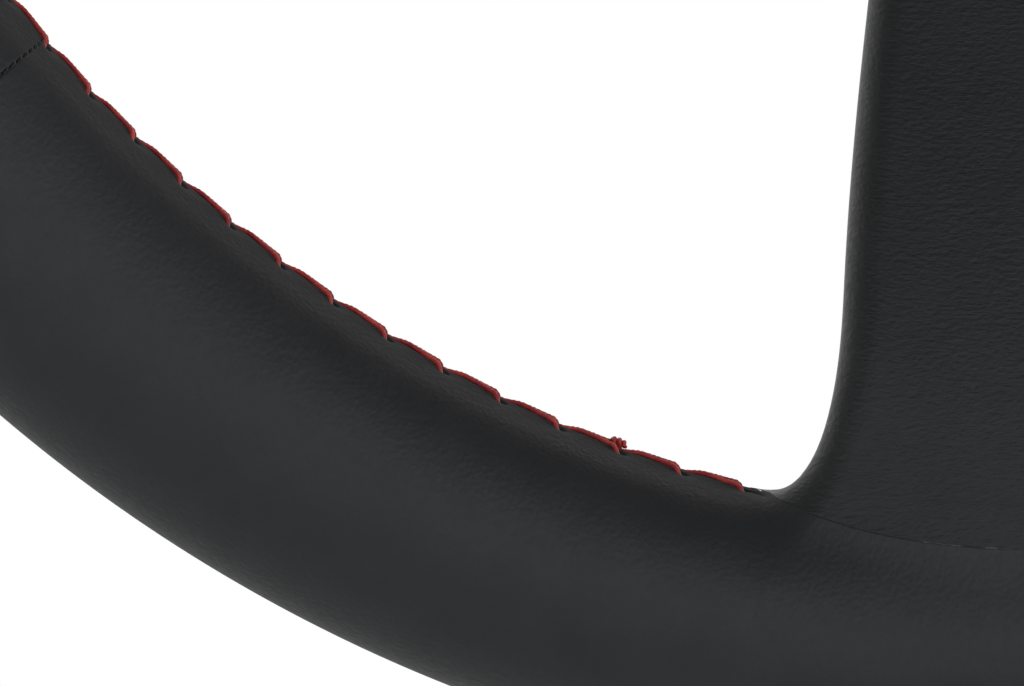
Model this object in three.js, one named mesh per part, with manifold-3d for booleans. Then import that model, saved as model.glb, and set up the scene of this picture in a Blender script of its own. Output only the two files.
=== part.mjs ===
// A dished, leather-covered racing steering wheel on a splined ball-lock quick release.
//
// Lengths are millimetres. Every piece is drawn with x to the driver's right, y up and z towards
// the driver, starting from z = 0 at the back face of the column flange. The finished group is
// then turned so that +Z is up and the driver sits on the -Y side. The release collar is drawn
// held back, with the balls free of the shaft, which is how the wheel comes off the column.

import * as THREE from 'three';
import { mergeVertices } from 'three/addons/utils/BufferGeometryUtils.js';
import Module from 'manifold-3d';

const wasm = await Module();
wasm.setup();

// Shared clearances and hardware
const GAP = 0.3;
const BOLT_COUNT = 6;
const BOLT_CIRCLE = 70;
const BOLT_HOLE = 2.75;
const TAPPED_HOLE = 2.6;

// Rim
const WHEEL_RADIUS = 175;
const RIM_HALF_WIDTH = 15.9;
const RIM_HALF_DEPTH = 15;
const RIM_MID_RADIUS = WHEEL_RADIUS - RIM_HALF_WIDTH;
const RIM_PLANE = 98;
const RIM_STEPS = 40;
const RIM_SIDES = 12;
const CORE_RADIUS = 7;
const CORE_SIDES = 8;
const LEATHER = 1.3;
const LACING_SLOT = 1.3;
const LACING_RADIUS = RIM_MID_RADIUS - RIM_HALF_WIDTH;

// Seams: the leather panels of the rim meet at these angles, counted from 3 o'clock
const LOWER_SEAM = THREE.MathUtils.degToRad(40.3);
const UPPER_SEAM = THREE.MathUtils.degToRad(45);
const SPOKE_SEAM_RADIUS = 147.3;
const SPOKE_SEAM_HALF_WIDTH = 30;

// Spokes, drawn along +y and then turned to 3, 6 and 9 o'clock
const SPOKES = { right: -Math.PI / 2, bottom: Math.PI, left: Math.PI / 2 };
const SPOKE_DEPTH = 13;
const SPOKE_END = RIM_MID_RADIUS - 0.6;
const SPOKE_SIDE = [[40, 13.6], [60, 15.2], [88, 18.3], [110, 20.7], [129, 22.1], [137, 24.3]];
const DISH_START = 48;
const DISH_END = 150;
const PLATE = 4;
const PLATE_BACK = 75 + GAP;
const PLATE_AT_HUB = PLATE_BACK + PLATE / 2;
const PLATE_AT_RIM = RIM_PLANE + CORE_RADIUS + GAP + PLATE / 2;
const SPOKE_FRONT = RIM_PLANE + RIM_HALF_DEPTH - PLATE_AT_RIM;
const SPOKE_BACK = SPOKE_FRONT - SPOKE_DEPTH;
const HUB_DISC_RADIUS = 45;
const HUB_HOLE_RADIUS = 26;

// Trim ring and horn
const TRIM_RADIUS = 47;
const TRIM_BACK = PLATE_BACK + PLATE + GAP;
const TRIM_FRONT = TRIM_BACK + 6.8;
const SCREW_HEAD_SEAT = TRIM_FRONT - 3.5;
const HORN_TRAVEL = 1.5;
const HOUSING_BACK = 69.9;
const HOUSING_FLOOR = HOUSING_BACK + 2;
const CONTACT_TOP = HOUSING_FLOOR + 3.3;

// Quick release
const FLANGE_RADIUS = 41;
const COLUMN_FLANGE = 9;
const SPLINE_TEETH = 16;
const SPLINE_END = 28;
const SHAFT_RADIUS = 14.8;
const SHAFT_END = 56;
const WIRE_BORE = 8;
const NUT_RECESS = [13, 20];
const BORE_RADIUS = 15;
const SLEEVE_RADIUS = 21;
const SLEEVE_START = COLUMN_FLANGE + GAP;
const WHEEL_FLANGE = [66, 75];
const HORN_RECESS_RADIUS = 24.5;
const HORN_RECESS_FLOOR = HOUSING_BACK - 0.4;
const BALL_COUNT = 6;
const BALL_RADIUS = 4;
const BALL_PLANE = 42;
const BALL_LOCKED = 16.9;
const BALL_RELEASED = 19.15;
const COLLAR_TRAVEL = 6.5;
const COLLAR_BORE = SLEEVE_RADIUS + 0.2;
const CLIP = [15, 16.5];
const ROUND_SIDES = 24;

// ---------------------------------------------------------------- solids

// A closed three.js geometry as a manifold-3d solid, without its zero-width faces.
function solid(geometry) {
  const bare = geometry.clone();
  bare.deleteAttribute('normal');
  bare.deleteAttribute('uv');
  const merged = mergeVertices(bare, 1e-4);
  const corners = Array.from(merged.index.array);
  const faces = [];
  for (let i = 0; i < corners.length; i += 3) {
    const face = corners.slice(i, i + 3);
    if (new Set(face).size === 3) {
      faces.push(...face);
    }
  }
  return new wasm.Manifold(new wasm.Mesh({
    numProp: 3,
    vertProperties: new Float32Array(merged.attributes.position.array),
    triVerts: new Uint32Array(faces),
  }));
}

// A manifold-3d solid as a three.js geometry.
function geometryOf(shape) {
  const mesh = shape.getMesh();
  const geometry = new THREE.BufferGeometry();
  geometry.setAttribute('position', new THREE.BufferAttribute(mesh.vertProperties, 3));
  geometry.setIndex(new THREE.BufferAttribute(mesh.triVerts, 1));
  return geometry;
}

function join(first, ...others) {
  return others.reduce((whole, other) => whole.add(other), first);
}

function cut(first, ...others) {
  return others.reduce((whole, other) => whole.subtract(other), first);
}

// A turned piece about z. The outline is [radius, z] pairs, anticlockwise.
function turned(outline, sides = ROUND_SIDES) {
  const points = outline.map(([radius, z]) => new THREE.Vector2(radius, z));
  points.push(points[0].clone());
  return solid(new THREE.LatheGeometry(points, sides).rotateX(Math.PI / 2));
}

// A ring of oval section about z.
function oval(midRadius, midZ, halfWidth, halfDepth, sides, steps = ROUND_SIDES) {
  const outline = [];
  for (let i = 0; i < sides; i++) {
    const angle = 2 * Math.PI * i / sides;
    outline.push([midRadius + halfWidth * Math.cos(angle), midZ + halfDepth * Math.sin(angle)]);
  }
  return turned(outline, steps);
}

// A flat outline in x and y, as thick as from bottom to top.
function extruded(shape, bottom, top, curveSegments = 12) {
  const settings = { depth: top - bottom, bevelEnabled: false, curveSegments };
  return solid(new THREE.ExtrudeGeometry(shape, settings).translate(0, 0, bottom));
}

function rod(radius, bottom, top, x = 0, y = 0, sides = 12) {
  const cylinder = new THREE.CylinderGeometry(radius, radius, top - bottom, sides);
  return solid(cylinder.rotateX(Math.PI / 2).translate(x, y, (bottom + top) / 2));
}

function box(from, to) {
  const size = to.map((high, i) => high - from[i]);
  const middle = to.map((high, i) => (high + from[i]) / 2);
  return solid(new THREE.BoxGeometry(...size).translate(...middle));
}

// The places of count things on a circle, the first at the given angle from +x.
function onCircle(count, radius, first = 0) {
  return Array.from({ length: count }, (_, i) => {
    const angle = first + 2 * Math.PI * i / count;
    return { angle, x: radius * Math.cos(angle), y: radius * Math.sin(angle) };
  });
}

function turnedAboutZ(shape, angle) {
  return solid(geometryOf(shape).rotateZ(angle));
}

// A round wire wound about z.
class Helix extends THREE.Curve {
  constructor(radius, bottom, top, turns) {
    super();
    Object.assign(this, { radius, bottom, top, turns });
  }

  getPoint(t, target = new THREE.Vector3()) {
    const angle = 2 * Math.PI * this.turns * t;
    const z = this.bottom + (this.top - this.bottom) * t;
    return target.set(this.radius * Math.cos(angle), this.radius * Math.sin(angle), z);
  }
}

function coil(radius, wireRadius, bottom, top, turns, stepsPerTurn, sides) {
  const section = new THREE.Shape();
  onCircle(sides, wireRadius).forEach(({ x, y }, i) => {
    if (i === 0) {
      section.moveTo(x, y);
    } else {
      section.lineTo(x, y);
    }
  });
  const extrudePath = new Helix(radius, bottom + wireRadius, top - wireRadius, turns);
  const settings = { steps: turns * stepsPerTurn, extrudePath };
  return solid(new THREE.ExtrudeGeometry(section, settings));
}

const boltPlaces = onCircle(BOLT_COUNT, BOLT_CIRCLE / 2, Math.PI / 6);

function boltHoles(radius, bottom, top) {
  return boltPlaces.map(({ x, y }) => rod(radius, bottom, top, x, y));
}

// ---------------------------------------------------------------- rim and spokes

function rimRing(inset) {
  const halfWidth = RIM_HALF_WIDTH - inset;
  const halfDepth = RIM_HALF_DEPTH - inset;
  return oval(RIM_MID_RADIUS, RIM_PLANE, halfWidth, halfDepth, RIM_SIDES, RIM_STEPS);
}

function coreRing(clearance) {
  const radius = CORE_RADIUS + clearance;
  return oval(RIM_MID_RADIUS, RIM_PLANE, radius, radius, CORE_SIDES, RIM_STEPS);
}

// The mid plane of the armature plate, which dishes forward from the hub to the rim.
function plateHeight(radius) {
  const share = THREE.MathUtils.smoothstep(radius, DISH_START, DISH_END);
  return PLATE_AT_HUB + (PLATE_AT_RIM - PLATE_AT_HUB) * share;
}

// One spoke's body along +y: its front outline, inset at the sides, and its dished side profile
// between two heights above the plate's mid plane.
function spokeBody(inset, low, high, start, end) {
  const side = new THREE.SplineCurve(SPOKE_SIDE.map(([y, x]) => new THREE.Vector2(x - inset, y)));
  const points = side.getPoints(7);
  const tip = new THREE.Vector2(points.at(-1).x, WHEEL_RADIUS);
  const right = [...points, tip];
  const left = right.map(({ x, y }) => new THREE.Vector2(-x, y)).reverse();
  const front = extruded(new THREE.Shape([...right, ...left]), 0, 2 * RIM_PLANE);

  const steps = 9;
  const under = [];
  const over = [];
  for (let i = 0; i <= steps; i++) {
    const y = start + (end - start) * i / steps;
    under.push(new THREE.Vector2(y, plateHeight(y) + low));
    over.unshift(new THREE.Vector2(y, plateHeight(y) + high));
  }
  const halfWidth = 40;
  const settings = { depth: 2 * halfWidth, bevelEnabled: false };
  const band = new THREE.ExtrudeGeometry(new THREE.Shape([...under, ...over]), settings);
  const yAxis = new THREE.Vector3(0, 1, 0);
  const zAxis = new THREE.Vector3(0, 0, 1);
  const xAxis = new THREE.Vector3(1, 0, 0);
  band.applyMatrix4(new THREE.Matrix4().makeBasis(yAxis, zAxis, xAxis));
  band.translate(-halfWidth, 0, 0);
  return front.intersect(solid(band));
}

function allSpokes(...sizes) {
  const spoke = spokeBody(...sizes);
  return Object.values(SPOKES).map((angle) => turnedAboutZ(spoke, angle));
}

// The part of the covering that belongs to a spoke, up to its seam with the rim's leather.
function spokeZone(angle, clearance) {
  const halfWidth = SPOKE_SEAM_HALF_WIDTH + clearance;
  const radius = SPOKE_SEAM_RADIUS + clearance;
  const reach = Math.asin(halfWidth / radius);
  const outline = new THREE.Shape();
  outline.moveTo(-halfWidth, 0);
  outline.lineTo(halfWidth, 0);
  outline.absarc(0, 0, radius, Math.PI / 2 - reach, Math.PI / 2 + reach, false);
  return turnedAboutZ(extruded(outline, 0, 2 * RIM_PLANE), angle);
}

// A slice of the wheel between two angles, with half a gap left off each end.
function sector(from, to, gap = GAP) {
  const trim = gap / 2 / RIM_MID_RADIUS;
  const outline = new THREE.Shape();
  const reach = 1.2 * WHEEL_RADIUS;
  outline.moveTo(0, 0);
  outline.lineTo(reach * Math.cos(from + trim), reach * Math.sin(from + trim));
  outline.absarc(0, 0, reach, from + trim, to - trim, false);
  return extruded(outline, 0, 2 * RIM_PLANE, 16);
}

function armature() {
  const front = PLATE_BACK + PLATE;
  const disc = turned([
    [HUB_HOLE_RADIUS, PLATE_BACK],
    [HUB_DISC_RADIUS, PLATE_BACK],
    [HUB_DISC_RADIUS, front],
    [HUB_HOLE_RADIUS, front],
  ]);
  const spokes = allSpokes(LEATHER + 3, -PLATE / 2, PLATE / 2, 40, RIM_MID_RADIUS + 2);
  return cut(join(disc, ...spokes), ...boltHoles(BOLT_HOLE, PLATE_BACK - 1, front + 1));
}

function rimPadding() {
  const inset = LEATHER + GAP;
  const low = SPOKE_BACK + inset;
  const high = SPOKE_FRONT - inset;
  const outside = join(rimRing(inset), ...allSpokes(inset, low, high, TRIM_RADIUS + 1, SPOKE_END));
  const half = PLATE / 2 + GAP;
  const plateRoom = allSpokes(LEATHER + 3 - GAP, -half, half, 40, RIM_MID_RADIUS + 2 + GAP);
  return cut(outside, coreRing(GAP), ...plateRoom);
}

function covering() {
  const start = TRIM_RADIUS + 0.6;
  const outside = join(rimRing(0), ...allSpokes(0, SPOKE_BACK, SPOKE_FRONT, start, SPOKE_END));
  const low = SPOKE_BACK + LEATHER;
  const high = SPOKE_FRONT - LEATHER;
  const inside = join(rimRing(LEATHER), ...allSpokes(LEATHER, low, high, 40, SPOKE_END));
  return cut(outside, inside);
}

function lacingRing(depth, halfWidth) {
  return turned([
    [LACING_RADIUS - 1, RIM_PLANE - halfWidth],
    [LACING_RADIUS + depth, RIM_PLANE - halfWidth],
    [LACING_RADIUS + depth, RIM_PLANE + halfWidth],
    [LACING_RADIUS - 1, RIM_PLANE + halfWidth],
  ], RIM_STEPS);
}

function rimPanels() {
  const skin = covering();
  const zones = Object.values(SPOKES).map((angle) => spokeZone(angle, GAP / 2));
  const rim = cut(skin, lacingRing(LEATHER + 1, LACING_SLOT), ...zones);
  const half = Math.PI;
  const panels = {
    right: [-LOWER_SEAM, UPPER_SEAM],
    top: [UPPER_SEAM, half - UPPER_SEAM],
    left: [half - UPPER_SEAM, half + LOWER_SEAM],
    bottom: [half + LOWER_SEAM, 2 * half - LOWER_SEAM],
  };
  for (const [name, [from, to]] of Object.entries(panels)) {
    add(`rim_leather_${name}`, rim.intersect(sector(from, to)), leather);
  }
  for (const [name, angle] of Object.entries(SPOKES)) {
    add(`spoke_leather_${name}`, skin.intersect(spokeZone(angle, -GAP / 2)), leather);
  }
}

// The red lacing fills the slot where the rim panel's two edges meet.
function lacings() {
  const ring = lacingRing(LEATHER - 0.1, LACING_SLOT - GAP);
  const reach = Math.asin((SPOKE_SEAM_HALF_WIDTH + 1) / LACING_RADIUS);
  const runs = {
    top: [reach, Math.PI - reach],
    left: [Math.PI + reach, 1.5 * Math.PI - reach],
    right: [1.5 * Math.PI + reach, 2 * Math.PI - reach],
  };
  for (const [name, [from, to]] of Object.entries(runs)) {
    add(`lacing_${name}`, ring.intersect(sector(from, to)), thread);
  }
}

// ---------------------------------------------------------------- hub and horn

function trimRing() {
  const ring = turned([
    [29.5, TRIM_BACK],
    [TRIM_RADIUS, TRIM_BACK],
    [TRIM_RADIUS, TRIM_FRONT - 2],
    [TRIM_RADIUS - 2, TRIM_FRONT],
    [27.1, TRIM_FRONT],
    [27.1, TRIM_FRONT - 1.4],
    [28.3, TRIM_FRONT - 1.4],
    [28.3, TRIM_BACK + 1.9],
    [29.5, TRIM_BACK + 1.9],
  ]);
  const through = boltHoles(BOLT_HOLE, TRIM_BACK - 1, TRIM_FRONT + 1);
  const counterbores = boltHoles(4.8, SCREW_HEAD_SEAT, TRIM_FRONT + 1);
  return cut(ring, ...through, ...counterbores);
}

// A socket screw: a domed head with a hexagon socket over a plain shank.
function hubScrew({ x, y }) {
  const seat = SCREW_HEAD_SEAT + GAP;
  const screw = turned([
    [0, WHEEL_FLANGE[0] + 2],
    [2.4, WHEEL_FLANGE[0] + 2],
    [2.4, seat],
    [4.3, seat],
    [4.3, seat + 1.6],
    [2.8, seat + 2.9],
    [0, seat + 2.9],
  ], 12);
  const socket = rod(1.75, seat + 1.1, seat + 4, 0, 0, 6);
  return solid(geometryOf(cut(screw, socket)).translate(x, y, 0));
}

function hornButton() {
  const flange = TRIM_FRONT - 1.7;
  return turned([
    [0, CONTACT_TOP + HORN_TRAVEL + 1.5],
    [4, CONTACT_TOP + HORN_TRAVEL + 1.5],
    [4, flange + 2.7],
    [20.5, flange + 1.5],
    [20.5, HOUSING_FLOOR + HORN_TRAVEL + 1.6],
    [22, HOUSING_FLOOR + HORN_TRAVEL + 1.6],
    [22, flange - 1.9],
    [28, flange - 1.9],
    [28, flange],
    [26.7, flange],
    [26.7, flange + 2.5],
    [25.4, flange + 4],
    [16, flange + 5.3],
    [0, flange + 5.8],
  ]);
}

function hornHousing() {
  const lip = TRIM_BACK;
  const cup = turned([
    [0, HOUSING_BACK],
    [24.2, HOUSING_BACK],
    [24.2, lip],
    [29.2, lip],
    [29.2, lip + 1.6],
    [22.6, lip + 1.6],
    [22.6, HOUSING_FLOOR],
    [0, HOUSING_FLOOR],
  ]);
  const slots = [-1, 1].map((side) => {
    const near = Math.min(2.9 * side, 4.3 * side);
    const far = Math.max(2.9 * side, 4.3 * side);
    return box([near, -2.7, HOUSING_BACK - 1], [far, 2.7, HOUSING_FLOOR + 1]);
  });
  return cut(cup, ...slots);
}

// A blade terminal through the housing floor, with a foot inside that keeps it in place.
function hornTerminal(side) {
  const foot = HOUSING_FLOOR + GAP;
  const blade = box([3.2, -2.4, SHAFT_END + 4], [4, 2.4, CONTACT_TOP]);
  const stop = box([3.6, -2.4, foot], [6.4, 2.4, foot + 0.8]);
  return turnedAboutZ(join(blade, stop), side > 0 ? 0 : Math.PI);
}

function contactDisc() {
  const back = CONTACT_TOP + HORN_TRAVEL + GAP;
  return rod(6.7, back, back + 0.9, 0, 0, 20);
}

function hornSpring() {
  return coil(8.1, 0.5, HOUSING_FLOOR + GAP, TRIM_FRONT + 0.6, 4, 9, 5);
}

// ---------------------------------------------------------------- quick release

// A splined outline: teeth with straight flanks between two radii, angles in degrees.
function splineOutline(minor, major, footAngle, tipAngle) {
  const corners = [[minor, -footAngle], [major, -tipAngle], [major, tipAngle], [minor, footAngle]];
  const points = [];
  for (let tooth = 0; tooth < SPLINE_TEETH; tooth++) {
    for (const [radius, offset] of corners) {
      const angle = 2 * Math.PI * tooth / SPLINE_TEETH + THREE.MathUtils.degToRad(offset / 2);
      points.push(new THREE.Vector2(radius * Math.cos(angle), radius * Math.sin(angle)));
    }
  }
  return new THREE.Shape(points);
}

// The part of the ball groove that is cut into the shaft, from its near edge to its far edge.
function ballGroove() {
  const radius = BALL_RADIUS + 0.25;
  const reach = Math.acos((BALL_LOCKED - SHAFT_RADIUS) / radius);
  const points = [];
  for (let i = 0; i <= 5; i++) {
    const angle = -reach + 2 * reach * i / 5;
    const depth = BALL_LOCKED - radius * Math.cos(angle);
    points.push([depth, BALL_PLANE + radius * Math.sin(angle)]);
  }
  return points;
}

function columnHub() {
  const [nutRadius, nutDepth] = NUT_RECESS;
  const body = turned([
    [nutRadius, 0],
    [FLANGE_RADIUS - 1, 0],
    [FLANGE_RADIUS, 1],
    [FLANGE_RADIUS, COLUMN_FLANGE - 1.5],
    [FLANGE_RADIUS - 1.5, COLUMN_FLANGE],
    [SHAFT_RADIUS, COLUMN_FLANGE],
    ...ballGroove(),
    [SHAFT_RADIUS, 48.6],
    [12.6, 48.6],
    [12.6, 51.4],
    [SHAFT_RADIUS, 51.4],
    [SHAFT_RADIUS, SHAFT_END - 1.5],
    [SHAFT_RADIUS - 1.5, SHAFT_END],
    [WIRE_BORE, SHAFT_END],
    [WIRE_BORE, nutDepth],
    [nutRadius, nutDepth],
  ]);
  const teeth = extruded(splineOutline(15.6, 17.8, 12, 8), COLUMN_FLANGE - 1, SPLINE_END);
  const hollow = turned([
    [0, -1],
    [nutRadius, -1],
    [nutRadius, nutDepth],
    [WIRE_BORE, nutDepth],
    [WIRE_BORE, SHAFT_END + 1],
    [0, SHAFT_END + 1],
  ]);
  return cut(join(body, teeth), hollow, ...boltHoles(BOLT_HOLE, -1, COLUMN_FLANGE + 1));
}

function shaftOring() {
  return oval(SHAFT_RADIUS - 0.9, 50, 1, 1, 6, 24);
}

// The sleeve that slides over the shaft, with the flange that carries the wheel.
function quickReleaseBody() {
  const [flangeBack, flangeFront] = WHEEL_FLANGE;
  const groove = SLEEVE_RADIUS - 1.1;
  const body = turned([
    [BORE_RADIUS, SLEEVE_START],
    [SLEEVE_RADIUS - 1, SLEEVE_START],
    [SLEEVE_RADIUS, SLEEVE_START + 1],
    [SLEEVE_RADIUS, CLIP[0] - 0.2],
    [groove, CLIP[0] - 0.2],
    [groove, CLIP[1] + 0.2],
    [SLEEVE_RADIUS, CLIP[1] + 0.2],
    [SLEEVE_RADIUS, flangeBack],
    [FLANGE_RADIUS - 1.5, flangeBack],
    [FLANGE_RADIUS, flangeBack + 1.5],
    [FLANGE_RADIUS, flangeFront - 0.8],
    [FLANGE_RADIUS - 0.8, flangeFront],
    [HORN_RECESS_RADIUS, flangeFront],
    [HORN_RECESS_RADIUS, HORN_RECESS_FLOOR],
    [6, HORN_RECESS_FLOOR],
    [6, flangeBack - 1],
    [BORE_RADIUS, flangeBack - 1],
  ]);
  const keyways = extruded(splineOutline(15.8, 18.2, 13.5, 9.5), SLEEVE_START - 1, SPLINE_END + 1);
  const ballHoles = onCircle(BALL_COUNT, 18, Math.PI / 6).map(({ angle, x, y }) => {
    const hole = new THREE.CylinderGeometry(BALL_RADIUS + 0.15, BALL_RADIUS + 0.15, 10, 16);
    return solid(hole.rotateZ(angle + Math.PI / 2).translate(x, y, BALL_PLANE));
  });
  const tapped = boltHoles(TAPPED_HOLE, flangeBack - 1, flangeFront + 1);
  return cut(body, keyways, ...ballHoles, ...tapped);
}

// The collar's cone drives the balls in by BALL_RELEASED - BALL_LOCKED over its travel.
function releaseCollar() {
  const slope = (BALL_RELEASED - BALL_LOCKED) / COLLAR_TRAVEL;
  const clearance = 0.15;
  const cone = BALL_RELEASED + (BALL_RADIUS + clearance) * Math.hypot(1, slope);
  const coneLength = (cone - COLLAR_BORE) / slope;
  const collar = turned([
    [COLLAR_BORE, 23.3],
    [32.5, 23.3],
    [34, 24.8],
    [34, 28.2],
    [30, 30.4],
    ...gripGrooves(33, 2, 8),
    [30, 56],
    [29, 57],
    [27.2, 57],
    [27.2, 52],
    [COLLAR_BORE, 52],
    [COLLAR_BORE, BALL_PLANE + coneLength],
    [cone, BALL_PLANE],
    [cone, BALL_PLANE - 4.5],
    [COLLAR_BORE, BALL_PLANE - 4.5],
  ]);
  const flutes = onCircle(12, 36).map(({ x, y }) => rod(3.6, 22, 31, x, y, 8));
  return cut(collar, ...flutes);
}

// Shallow finger grooves along the collar's outside.
function gripGrooves(start, count, pitch) {
  const points = [];
  for (let i = 0; i < count; i++) {
    const z = start + i * pitch;
    points.push([30, z], [28.8, z + 1.2], [28.8, z + 3.8], [30, z + 5]);
  }
  return points;
}

// The spring bears on the wheel flange and on the collar's counterbore.
function collarSpring() {
  return coil(24.2, 1.1, 52 + GAP, WHEEL_FLANGE[0] - GAP, 5, 10, 5);
}

function collarClip() {
  const half = THREE.MathUtils.degToRad(165);
  const outline = new THREE.Shape();
  outline.absarc(0, 0, 23.2, -half, half, false);
  outline.absarc(0, 0, 20, half, -half, true);
  const ring = extruded(outline, CLIP[0], CLIP[1], 16);
  const earX = -22.3 * Math.cos(Math.PI - half);
  const earY = 22.3 * Math.sin(Math.PI - half);
  const ears = [-earY, earY].map((y) => rod(1.9, CLIP[0], CLIP[1], earX, y, 8));
  const holes = [-earY, earY].map((y) => rod(0.8, CLIP[0] - 1, CLIP[1] + 1, earX, y, 6));
  return cut(join(ring, ...ears), ...holes);
}

// ---------------------------------------------------------------- the assembly

function paint(color, roughness, metalness) {
  return new THREE.MeshStandardMaterial({ color, roughness, metalness });
}

const leather = paint(0x24262a, 0.55, 0);
const thread = paint(0x9c1f2a, 0.7, 0);
const foam = paint(0x30302e, 0.9, 0);
const bareAluminium = paint(0xb9bcc0, 0.4, 1);
const blackAnodised = paint(0x17181a, 0.38, 1);
const redAnodised = paint(0xa3121c, 0.32, 1);
const steel = paint(0x8f9296, 0.3, 1);
const springSteel = paint(0x5d6166, 0.35, 1);
const blackOxide = paint(0x1d1d1f, 0.45, 1);
const brass = paint(0xb8913f, 0.35, 1);
const rubber = paint(0x111112, 0.8, 0);
const blackPlastic = paint(0x1a1a1c, 0.5, 0);

const wheel = new THREE.Group();
wheel.rotation.x = Math.PI / 2;

function add(name, shape, material) {
  const mesh = new THREE.Mesh(geometryOf(shape), material);
  mesh.name = name;
  wheel.add(mesh);
}

add('wheel_armature', armature(), bareAluminium);
add('rim_core_ring', coreRing(0), bareAluminium);
add('rim_padding', rimPadding(), foam);
rimPanels();
lacings();

add('hub_trim_ring', trimRing(), blackAnodised);
boltPlaces.forEach((place, i) => add(`hub_screw_${i + 1}`, hubScrew(place), blackOxide));
add('horn_button', hornButton(), blackPlastic);
add('horn_housing', hornHousing(), blackPlastic);
add('horn_spring', hornSpring(), springSteel);
add('horn_contact_disc', contactDisc(), brass);
add('horn_terminal_1', hornTerminal(-1), brass);
add('horn_terminal_2', hornTerminal(1), brass);

add('qr_body', quickReleaseBody(), blackAnodised);
add('release_collar', releaseCollar(), redAnodised);
add('collar_spring', collarSpring(), springSteel);
add('collar_circlip', collarClip(), springSteel);
onCircle(BALL_COUNT, BALL_RELEASED, Math.PI / 6).forEach(({ x, y }, i) => {
  const ball = new THREE.SphereGeometry(BALL_RADIUS, 12, 8);
  add(`ball_${i + 1}`, solid(ball.translate(x, y, BALL_PLANE)), steel);
});
add('column_hub', columnHub(), steel);
add('shaft_oring', shaftOring(), rubber);

export default wheel;
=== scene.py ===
"""Looks of a quick release steering wheel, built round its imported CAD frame.

The leather is one smooth body, a field that is negative inside the wheel: an oval rim, three
dished spokes and the fillets between them. Each leather panel is a grid whose points are cast on
to that body, and whose edges roll in where two panels meet. Lengths are in metres, +Z is up and
the driver sits on the -Y side, so a depth towards the driver is -y.
"""

import math

import bmesh
import bpy
import numpy as np
from mathutils import Matrix, Vector


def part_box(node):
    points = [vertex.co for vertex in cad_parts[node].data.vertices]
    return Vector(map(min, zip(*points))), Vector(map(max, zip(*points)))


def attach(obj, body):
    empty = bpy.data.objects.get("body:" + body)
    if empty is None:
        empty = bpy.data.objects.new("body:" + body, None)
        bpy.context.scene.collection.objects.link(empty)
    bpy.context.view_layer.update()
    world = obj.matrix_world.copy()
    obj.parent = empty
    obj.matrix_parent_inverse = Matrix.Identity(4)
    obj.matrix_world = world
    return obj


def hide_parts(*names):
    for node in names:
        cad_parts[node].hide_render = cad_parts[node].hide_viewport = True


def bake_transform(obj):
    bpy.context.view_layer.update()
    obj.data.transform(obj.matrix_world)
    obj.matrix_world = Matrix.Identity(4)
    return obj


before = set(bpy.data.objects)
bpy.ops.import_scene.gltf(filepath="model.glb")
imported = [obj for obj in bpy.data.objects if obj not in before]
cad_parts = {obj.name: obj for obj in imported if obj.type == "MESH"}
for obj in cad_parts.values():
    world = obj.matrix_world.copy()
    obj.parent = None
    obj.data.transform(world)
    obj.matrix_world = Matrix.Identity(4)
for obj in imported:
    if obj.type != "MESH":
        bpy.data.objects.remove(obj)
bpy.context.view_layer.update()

MM = 0.001

# ------ sizes from the frame

RIM_LOW, RIM_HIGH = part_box("rim_leather_top")
WHEEL_RADIUS = RIM_HIGH.z
RIM_DEPTH = -(RIM_LOW.y + RIM_HIGH.y) / 2
RIM_HALF_DEPTH = (RIM_HIGH.y - RIM_LOW.y) / 2
SPOKE_START = -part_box("spoke_leather_bottom")[1].z - 0.4 * MM

# Half of the rim's width, which grows from 6 o'clock towards the sides
RIM_HALF_WIDTH = 15.15 * MM
RIM_HALF_WIDTH_GAIN = 1.2 * MM
RIM_ROUNDNESS = 2.1

# The dished spokes: depth of the mid surface at the hub and at the rim, and their section
SPOKES = {"right": (1, 0), "bottom": (0, -1), "left": (-1, 0)}
SPOKE_SIDE = [(48, 13.8), (88, 18.4), (110, 20.65), (128, 21.6)]
SPOKE_FLARE_START = 118 * MM
SPOKE_FLARE_END = 150 * MM
SPOKE_FLARE = 11.6 * MM
SPOKE_HALF_DEPTH = 6.4 * MM
SPOKE_EDGE = 4 * MM
SPOKE_CROWN = (0.5 * MM, 3.0 * MM)
DISH = (48 * MM, 150 * MM)
DISH_DEPTH = (76.5 * MM, 104.9 * MM)
FILLET = 9.8 * MM
FRONT_FILLET = 5 * MM

# Seams, lacing and the marks that the lacing leaves in the leather
LOWER_SEAM = math.radians(40.3)
UPPER_SEAM = math.radians(45)
SPOKE_SEAM_RADIUS = 147.6 * MM
SPOKE_SEAM_SWEEP = 3.4 * MM
SPOKE_SEAM_HALF_ANGLE = math.radians(12.62)
STITCHES = {"lacing_left": 23, "lacing_right": 23, "lacing_top": 55}
STITCH = 7.05 * MM
STITCH_HOLE = 2.35 * MM
STITCH_END = 0.95
THREAD = 0.29 * MM
THREAD_PLIES = 3
THREAD_PITCH = 1.9 * MM
HOLE_SIZE = (0.42 * MM, 0.38 * MM)
PULL_SIZE = (1.7 * MM, 1.3 * MM)
LINE_WIDTH = 0.45 * MM
PUFF = (1.6 * MM, 1.3 * MM)
LACED_ROLL = 1.0 * MM
PANEL_ROLL = 0.45 * MM
KNOT_PLACE = 20.85
KNOT_LENGTH = 1.7 * MM
KNOT_TURNS = 3
SPOKE_SEAM_ROLL = 0.05 * MM
LEATHER = 1.3 * MM
HUB_TUCK = 1.3 * MM
STRAIGHT_END = 126 * MM
# Band of painted shade along the rim's laced edge: full within the first width, gone past the second
LACED_SHADE_BAND = (3.5 * MM, 9.5 * MM)


def smooth(low, high, x):
    """0 at low, 1 at high, with an even start and end."""
    t = np.clip((x - low) / (high - low), 0, 1)
    return t * t * (3 - 2 * t)


# ------ the body of the wheel


def rim_half_width(x, z):
    from_bottom = np.arctan2(np.abs(x), -z)
    share = smooth(math.radians(5), math.radians(45), from_bottom)
    return RIM_HALF_WIDTH + RIM_HALF_WIDTH_GAIN * share


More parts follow.
